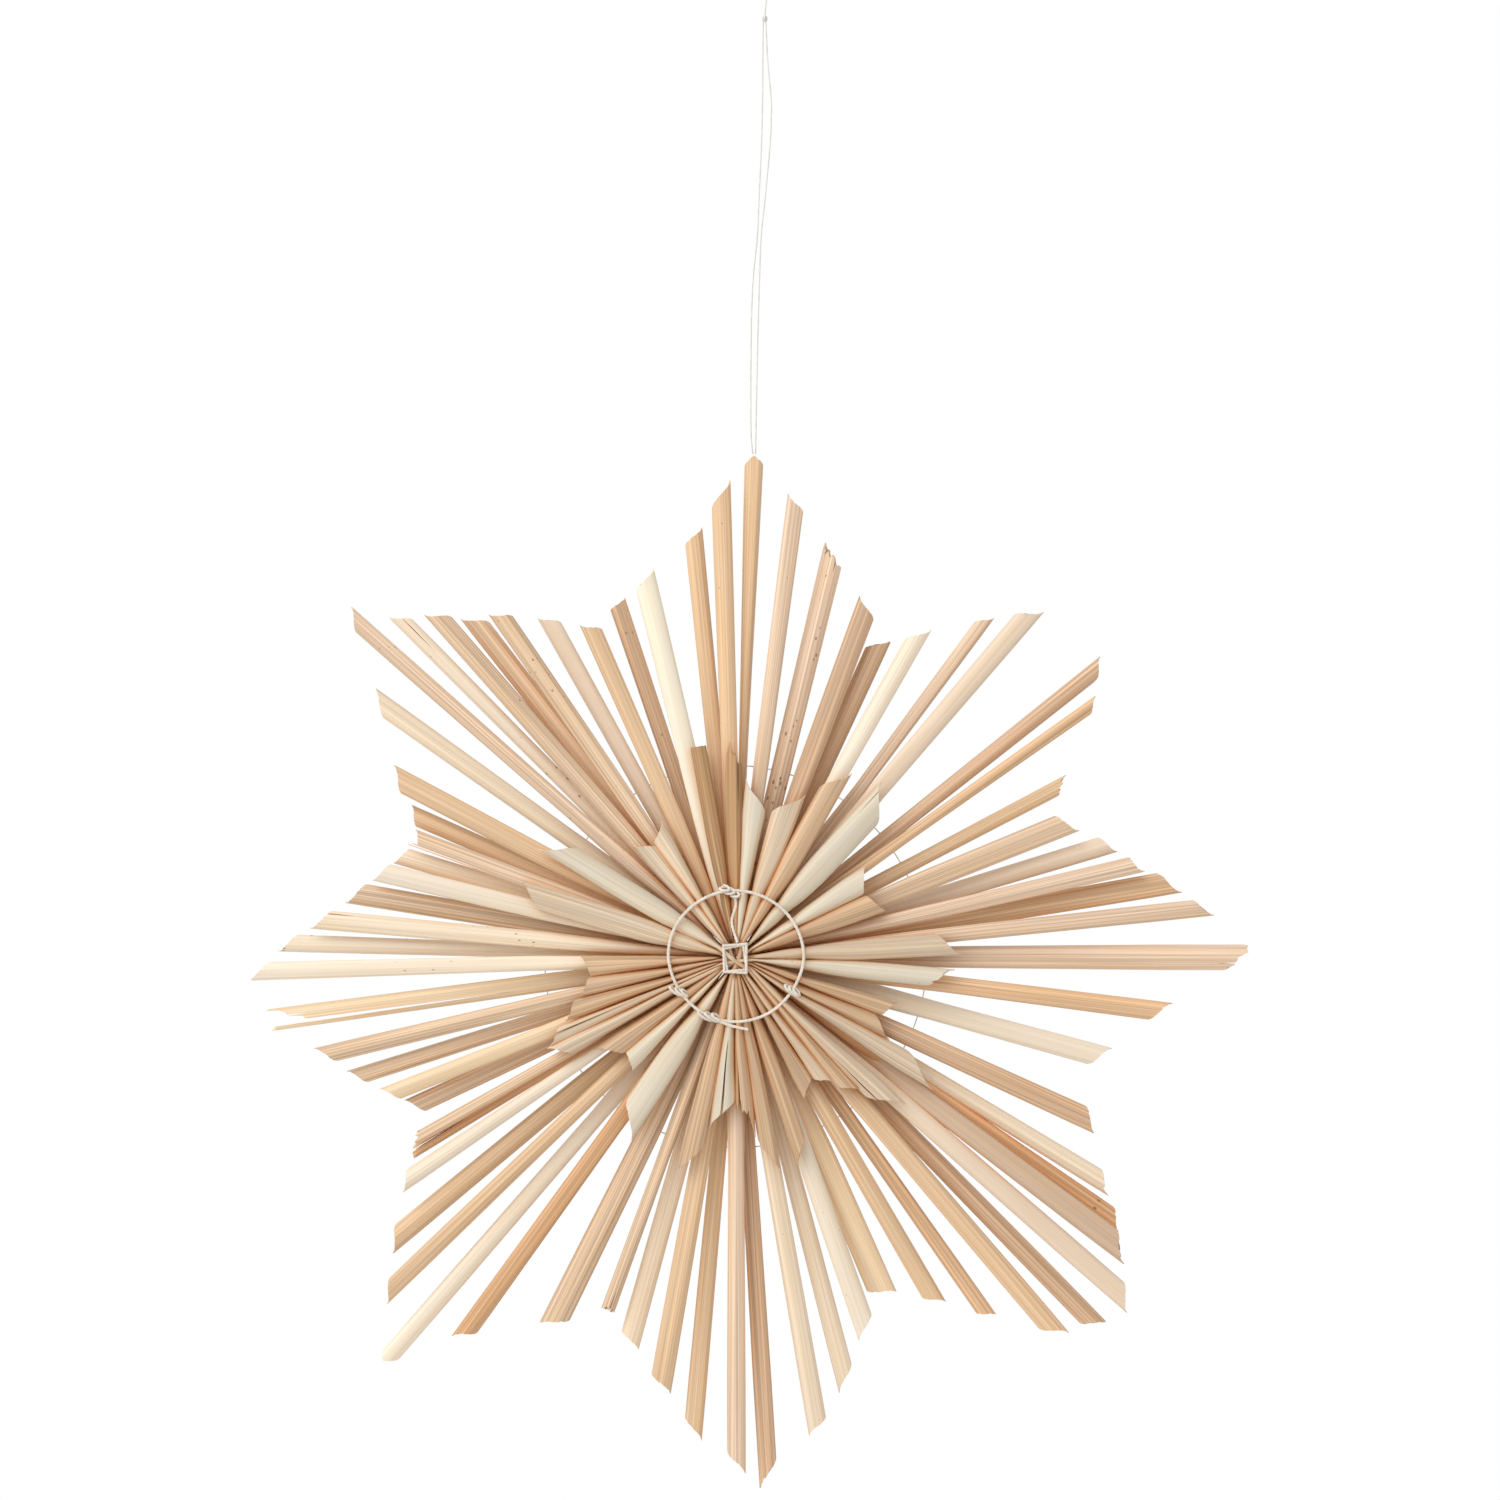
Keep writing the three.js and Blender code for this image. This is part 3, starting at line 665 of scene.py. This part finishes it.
def lerpRing(a, b, t):
    return {
        "middle": a["middle"].lerp(b["middle"], t),
        "side": a["side"].lerp(b["side"], t).normalized(),
        "wide": a["wide"] + (b["wide"] - a["wide"]) * t,
        "deep": a["deep"] + (b["deep"] - a["deep"]) * t,
    }


def cutLine(half):
    # the reach of the cut at places round the straw, from one edge at -1 to the other at 1; the scissors
    # pressed the straw flat, so their straight cut is a curved one since it sprang back
    heading = half["heading"]
    side = across(heading)
    marks = sorted((p.dot(side), p.dot(heading)) for p in half["tip"])
    left, right = marks[0], marks[-1]
    middle, halfWide = (left[0] + right[0]) / 2, (right[0] - left[0]) / 2

    def aboveChord(mark):
        return mark[1] - left[1] - (mark[0] - left[0]) / (2 * halfWide) * (right[1] - left[1])

    # a third mark between them where a point of the star falls on this straw
    peak = max(marks, key=aboveChord)
    corners = [left, peak, right] if aboveChord(peak) > straws["cutPeak"] else [left, right]
    return [(math.asin(max(-1, min(1, (x - middle) / halfWide))) * 2 / math.pi, reach)
            for x, reach in corners]


def cutReach(line, spot):
    for a, b in zip(line, line[1:]):
        if spot <= b[0]:
            return a[1] + (b[1] - a[1]) * max(0, spot - a[0]) / (b[0] - a[0])
    return line[-1][1]


def strawStations(halves, centre):
    # closely spaced sections from one tip to the other, eased where the solid's rings turn
    ends = []
    for sign, half in zip((1, -1), halves):
        rings = [dict(ring, side=ring["side"] * sign) for ring in half["rings"]]
        away = (rings[0]["middle"] - rings[1]["middle"]).normalized()
        low = min(reach for _, reach in half["cut"]) - straws["cutRoom"]
        rings[0]["middle"] += away * (low - rings[0]["middle"].dot(half["heading"]))
        ends.append(rings)
    keys = ends[0] + [dict(centre)] + ends[1][::-1]
    stations = [keys[0]]
    for a, b in zip(keys, keys[1:]):
        gap = (b["middle"] - a["middle"]).length
        reach = min(math.hypot(ring["middle"].x, ring["middle"].z) for ring in (a, b))
        spacing = next(step for limit, step in straws["spacings"] if reach < limit)
        count = max(2, round(gap / spacing))
        stations += [lerpRing(a, b, k / count) for k in range(1, count + 1)]
    for _ in range(straws["easings"]):
        eased = [lerpRing(lerpRing(a, c, 0.5), b, 0.5)
                 for a, b, c in zip(stations, stations[1:], stations[2:])]
        stations = [stations[0]] + eased + [stations[-1]]
    return [dict(stations[0], cut=True)] + stations + [dict(stations[-1], cut=True)]


def openSlit(bm, end, heading, slit):
    # splits a straw lengthwise from its tip and parts the two sides, most at the end
    spot, length, gap, through = slit
    near = 30 * mm  # within this reach no column of vertices is split yet
    same = 0.01  # radians between vertices of one column, at most
    angle = bm.verts.layers.float["angle"]
    side = across(heading)
    wanted = (1 - spot * (1, -1)[end]) * math.pi / 2
    for sign in (1, -1) if through else (1,):
        columns = {v[angle] for v in bm.verts if 0 < (v.co - hub).dot(heading) < near}
        theta = min(columns, key=lambda a: abs(a - sign * wanted))
        line = [v for v in bm.verts if abs(v[angle] - theta) < same and (v.co - hub).dot(heading) > 0]
        tip = max((v.co - hub).dot(heading) for v in line)
        start = tip - length * mm
        chosen = {v for v in line if (v.co - hub).dot(heading) > start}
        bmesh.ops.split_edges(bm, edges=[e for e in bm.edges if set(e.verts) <= chosen])
        for vert in bm.verts:
            reach = (vert.co - hub).dot(heading)
            if abs(vert[angle] - theta) > same or reach <= start:
                continue
            beside = [v.co.dot(side) for face in vert.link_faces for v in face.verts
                      if abs(v[angle] - theta) > same]
            if not beside:
                continue
            lean = sum(beside) / len(beside) - vert.co.dot(side)
            vert.co += side * math.copysign(gap * mm / 2 * (reach - start) / (tip - start), lean)


def makeStraw(name, rays, halves, centre, tones, seed):
    setup = straws
    kind = name.split("_")[0]
    for half, ray in zip(halves, rays):
        marks = setup["cuts"][kind].get(ray, ())
        half["cut"] = [(place, reach * mm) for place, reach in marks] or cutLine(half)
        half["torn"] = setup["frays"][kind].get(ray, setup["clean"]) * mm
        for key, usual in (("lifts", 0), ("widths", 1), ("turns", 0)):
            half[key] = setup[key].get(ray, usual) if kind == "long" else usual
    rng = random.Random(seed)
    bm = newMesh()
    tone = bm.verts.layers.float_color.new("tone")
    wear = bm.verts.layers.float_vector.new("wear")
    weight = bm.verts.layers.deform.verify()
    angle = bm.verts.layers.float["angle"]
    grain = bm.verts.layers.float_vector["grain"]
    stations = strawStations(halves, centre)
    boxy = rng.uniform(*setup["boxy"])
    tilt = [math.radians(rng.uniform(-setup["tilt"], setup["tilt"])) for _ in range(2)]
    shingle = [math.radians(rng.uniform(-setup["shingle"], setup["shingle"])) for _ in range(2)]
    halfGirth = setup["girth"] * max(station["wide"] for station in stations)
    colours = [fromHex(setup["tones"][letter]) for letter in tones]
    shift = [rng.uniform(*setup["brightness"]) for _ in range(2)]
    specks = [setup["specked"][kind].get(ray, rng.uniform(0, setup["fewSpecks"])) for ray in rays]
    skinPlace, tearPlace = (seed * step for step in setup["strawStep"])

    def placeVertex(vert, station):
        theta = vert[angle]
        middle = station["middle"]
        far = math.hypot(middle.x, middle.z) / mm
        end = 0 if middle.dot(halves[0]["heading"]) > 0 else 1
        heading = halves[end]["heading"]
        outer = ramp(far, *setup["outerRun"])
        middle = middle + front * halves[end]["lifts"] * mm * outer
        middle += across(heading) * far * mm * math.radians(halves[end]["turns"]) * outer
        wide = station["wide"] + setup["wider"] * (1 - ramp(far, *setup["widerRun"]))
        if kind == "short":
            bulge = setup["bulge"] * bell(far, *setup["bulgePlace"])
            wide *= 1 + bulge - setup["pinch"] * bell(far, *setup["pinchPlace"])
            wide *= 1 + setup["opening"] * ramp(far, *setup["openingRun"])
        else:
            wide *= 1 - setup["taper"] * outer * (1 - ramp(far, *setup["taperRun"]))
            wide *= 1 + (halves[end]["widths"] - 1) * outer
        deep = station["deep"]
        u = math.copysign(abs(math.cos(theta)) ** boxy, math.cos(theta)) * wide / 2
        v = math.copysign(abs(math.sin(theta)) ** boxy, math.sin(theta)) * deep / 2
        place = far * (1, -1)[end]
        alongGrain, roundGrain = setup["dentGrain"]
        dent = setup["dent"] * noise.noise(Vector((skinPlace, place * alongGrain, theta * roundGrain)))
        if v > 0:
            v *= 1 + setup["swell"] * ramp(far, *setup["swellRun"][kind])
        else:
            v *= 1 + setup["swellBehind"] * ramp(far, *setup["swellBehindRun"])
        v += dent * min(1, deep / setup["dentFull"]) * math.copysign(1, math.sin(theta))
        turn = tilt[end] * ramp(far, *setup["tiltRun"]) + shingle[end] * bell(far, *setup["shinglePlace"])
        lean = station["side"] * math.cos(turn) + front * math.sin(turn)
        rise = front * math.cos(turn) - station["side"] * math.sin(turn)
        vert.co = hub + middle + lean * u + rise * v
        if "cut" in station:
            spot = (1 - 2 * abs(theta) / math.pi) * (1, -1)[end]
            tear = Vector((spot * setup["teeth"], tearPlace + end, math.copysign(setup["faceStep"], theta)))
            ragged = noise.noise(tear) + setup["tornMore"]
            goal = cutReach(halves[end]["cut"], spot) - max(0, ragged) * halves[end]["torn"]
            vert.co += heading * (goal - (vert.co - hub).dot(heading))
            place = goal / mm * (1, -1)[end]
        vert[grain] = Vector((abs(theta) / math.pi * halfGirth / mm, place, skinPlace))
        level = [c * shift[end] for c in colours[end]]
        vert[tone] = (*level, 1)
        vert[wear] = Vector((setup["ribbed"][tones[end]], specks[end], 0))
        vert[weight][0] = min(1.0, setup["wallShare"] * min(wide, deep) / setup["wall"])

    sweep(bm, stations, setup["columns"], placeVertex)
    putInOrder(bm)
    for end, ray in enumerate(rays):
        for slit in setup["slits"][kind].get(ray, ()):
            openSlit(bm, end, halves[end]["heading"], slit)
    piece = finishPiece(bm, name, wheatStraw, [name])
    piece.vertex_groups.new(name="wall")
    solidify = piece.modifiers.new("wall", "SOLIDIFY")
    solidify.thickness = setup["wall"]
    solidify.offset = -1
    solidify.vertex_group = "wall"
    depsgraph = bpy.context.evaluated_depsgraph_get()
    solid = bpy.data.meshes.new_from_object(piece.evaluated_get(depsgraph))
    piece.modifiers.clear()
    piece.data = solid
    solid.set_sharp_from_angle(angle=math.radians(setup["sharp"]))
    return piece


def makeStraws():
    for kind, firstSeed in (("long", 0), ("short", 100)):
        tones = straws[kind]
        count = len(tones) // 2
        for i in range(count):
            name = f"{kind}_straw_{i + 1:02d}"
            halves, centre = readStraw(nodes[name])
            ends = tones[i] + tones[i + count]
            makeStraw(name, (i + 1, i + count + 1), halves, centre, ends, firstSeed + i)


makeStraws()


print("binding threads")
lashing = {
    "thread": 0.9 * mm,
    "pitch": 2.2 * mm,
    "corners": (31, 139.5, 216.5, 311),  # bearings, in degrees
    # each turn of the thread: its radius in millimetres, its twist in degrees and how deep it lies in
    # millimetres
    "turns": ((5.1, 3, 0.0), (4.5, -5, 0.35)),
    # at a corner, in thread radii: where a side stops lying flat before it, how far past it the thread goes
    # back between the straws, and how deep it is when it turns there
    "cornerFlat": 0.9,
    "cornerPast": 0.18,
    "cornerDeep": 1.7,
    "tight": 0.15 * mm,  # how much a side is drawn in at its middle
}
frontRing = {
    "radius": 19.5 * mm,
    "sag": 1.2 * mm,  # how much it is drawn in at the bottom
    "thread": 1.0 * mm,
    "pitch": 2.4 * mm,
    # each knot's bearing in degrees, its length and radius in millimetres, and how far it's turned from the
    # ring, in degrees
    "knots": ((352, 5.2, 0.95, 38), (118, 4.4, 0.85, 83), (237, 5.4, 0.9, -44), (201.5, 6.2, 1.05, -15)),
    "knotThread": 0.95 * mm,
    "knotTurns": 2.6,
    "knotLean": 1.7,  # how far askew the turns lie, in knot radii
    "wobble": 0.5 * mm,
    "tail": ((0, 0), (5.4, -2.2), (10.9, -3.3)),  # from the last knot, in millimetres
    "tailDepth": -0.4,
    # from the top knot in towards the lashing, in millimetres, and where it ends, from the middle of the
    # lashing's front
    "link": ((1.6, 0.0, -0.9), (2.2, 0.2, -4.0), (1.2, 0.3, -9.0)),
    "linkEnd": (0.3, 0.5, 4.6),
}
rearRing = {
    "radius": 55.5 * mm,
    "thread": 0.4 * mm,
    "pitch": 1.2 * mm,
    "wobble": 1.2 * mm,
    "step": 0.5 * mm,
    "segments": 6,
}


def makeLashing(setup):
    low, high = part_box("centre_lashing")
    thick = setup["thread"] / 2
    bm = newMesh()
    sides = [(face, turn, i) for face in (1, -1) for turn in setup["turns"] for i in range(4)]
    for face, (radius, twist, sunk), i in sides:
        a, b = (along(setup["corners"][k % 4] + twist) * radius * mm for k in (i, i + 1))
        level = low.y + thick if face > 0 else high.y - thick
        run = (b - a).normalized() * thick * setup["cornerFlat"]
        past = (b - a).normalized() * thick * setup["cornerPast"]
        deep = Vector((0, (low.y + high.y) / 2, 0))
        flat = Vector((0, level + face * sunk * mm, 0))
        inward = Vector((0, face * thick * setup["cornerDeep"], 0))
        tight = Vector((0, face * setup["tight"], 0))
        route = [hub + p for p in (
            a - past + deep, a - past + flat + inward, a + run + flat, a.lerp(b, 0.5) + flat + tight,
            b - run + flat, b + past + flat + inward, b + past + deep)]
        spinThread(bm, smoothPath(route, threadStep), setup["thread"], setup["pitch"], seed=i + face + twist)
    finishPiece(bm, "centre_lashing", bindingCotton, ["centre_lashing"])


def ringPath(radius, depth, wobble, seed, sag=0.0):
    # a circle round the hub, clockwise from the top, not quite round
    points = []
    count = 48
    for k in range(count):
        bearing = 360 * k / count
        theta = math.radians(bearing)
        uneven = wobble * noise.noise(Vector((math.cos(theta), math.sin(theta), seed)))
        reach = radius - sag * max(0, -math.cos(theta)) + uneven
        points.append(hub + along(bearing) * reach + Vector((0, depth, 0)))
    return points


def makeFrontRing(setup):
    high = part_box("front_ring_thread")[1]
    depth = high.y - setup["thread"] / 2
    bm = newMesh()
    ring = ringPath(setup["radius"], depth, setup["wobble"], 3.0, setup["sag"])
    spinThread(bm, smoothPath(ring, threadStep, True), setup["thread"], setup["pitch"], True)
    thread = setup["knotThread"]
    knots = []
    for i, (bearing, length, radius, lean) in enumerate(setup["knots"]):
        out = along(bearing)
        knots.append(hub + out * (setup["radius"] - setup["sag"] * max(0, -out.z)) + Vector((0, depth, 0)))
        turns = wrapPath(knots[-1], along(bearing + 90 + lean), radius * mm, length * mm - thread,
                         setup["knotTurns"], setup["knotLean"])
        spinThread(bm, smoothPath(turns, threadStep), thread, setup["pitch"], seed=i)
    tail = [knots[-1] + Vector((x, setup["tailDepth"], z)) * mm for x, z in setup["tail"]]
    spinThread(bm, smoothPath(tail, threadStep), thread, setup["pitch"], seed=9)
    link = [knots[0] + Vector(step) * mm for step in setup["link"]]
    lashingFront = hub + Vector((0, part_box("centre_lashing")[0].y, 0))
    link.append(lashingFront + Vector(setup["linkEnd"]) * mm)
    spinThread(bm, smoothPath(link, threadStep), thread, setup["pitch"], seed=11)
    finishPiece(bm, "front_ring_thread", bindingCotton, ["front_ring_thread"])


def makeRearRing(setup):
    low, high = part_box("rear_ring_thread")
    bm = newMesh()
    ring = ringPath(setup["radius"], (low.y + high.y) / 2, setup["wobble"], 8.0)
    path = smoothPath(ring, setup["step"], True)
    spinThread(bm, path, setup["thread"], setup["pitch"], True, segments=setup["segments"])
    finishPiece(bm, "rear_ring_thread", bindingCotton, ["rear_ring_thread"])


makeLashing(lashing)
makeFrontRing(frontRing)
makeRearRing(rearRing)


print("light and floor")
# The floor is a painted board below the star, matt and nearly white, so that it throws soft light upwards.
studio = {
    "background": 1.0,  # what the camera sees behind the star
    "ambient": 0.7,  # what the same white room gives as light
    "key": {"place": (-1.1, -1.2, 0.95), "size": 1.9, "power": 29},
    "floorHeight": -0.75,
    "floorSize": 1.4,
    "floorColour": "#F4F3F0",
    "floorRoughness": 0.8,
}


def makeStudio(setup):
    world = bpy.data.worlds.new("studio")
    world.use_nodes = True
    tree = world.node_tree
    tree.nodes.clear()
    seen = addNode(tree, "ShaderNodeLightPath", {}).outputs["Is Camera Ray"]
    level = addNode(
        tree, "ShaderNodeMapRange", {"To Min": setup["ambient"], "To Max": setup["background"]},
        {"Value": seen}).outputs["Result"]
    glow = addNode(tree, "ShaderNodeBackground", {"Color": (1, 1, 1, 1)}, {"Strength": level})
    addNode(tree, "ShaderNodeOutputWorld", {}, {"Surface": glow.outputs["Background"]})
    bpy.context.scene.world = world
    key = setup["key"]
    light = bpy.data.lights.new("key", "AREA")
    light.size = key["size"]
    light.energy = key["power"]
    lamp = bpy.data.objects.new("key", light)
    bpy.context.scene.collection.objects.link(lamp)
    place = Vector(key["place"])
    lamp.matrix_world = Matrix.Translation(place) @ (place - hub).to_track_quat("Z", "Y").to_matrix().to_4x4()
    bm = bmesh.new()
    bmesh.ops.create_grid(bm, x_segments=1, y_segments=1, size=setup["floorSize"])
    bmesh.ops.translate(bm, verts=bm.verts, vec=(0, 0, setup["floorHeight"]))
    mesh = bpy.data.meshes.new("floor")
    bm.to_mesh(mesh)
    bm.free()
    material, tree = newMaterial("painted_board")
    shader = addNode(
        tree, "ShaderNodeBsdfPrincipled",
        {"Base Color": (*fromHex(setup["floorColour"]), 1), "Roughness": setup["floorRoughness"]})
    addNode(tree, "ShaderNodeOutputMaterial", {}, {"Surface": shader.outputs["BSDF"]})
    mesh.materials.append(material)
    floor = bpy.data.objects.new("floor", mesh)
    bpy.context.scene.collection.objects.link(floor)
    bpy.context.scene.view_settings.view_transform = "Standard"


makeStudio(studio)
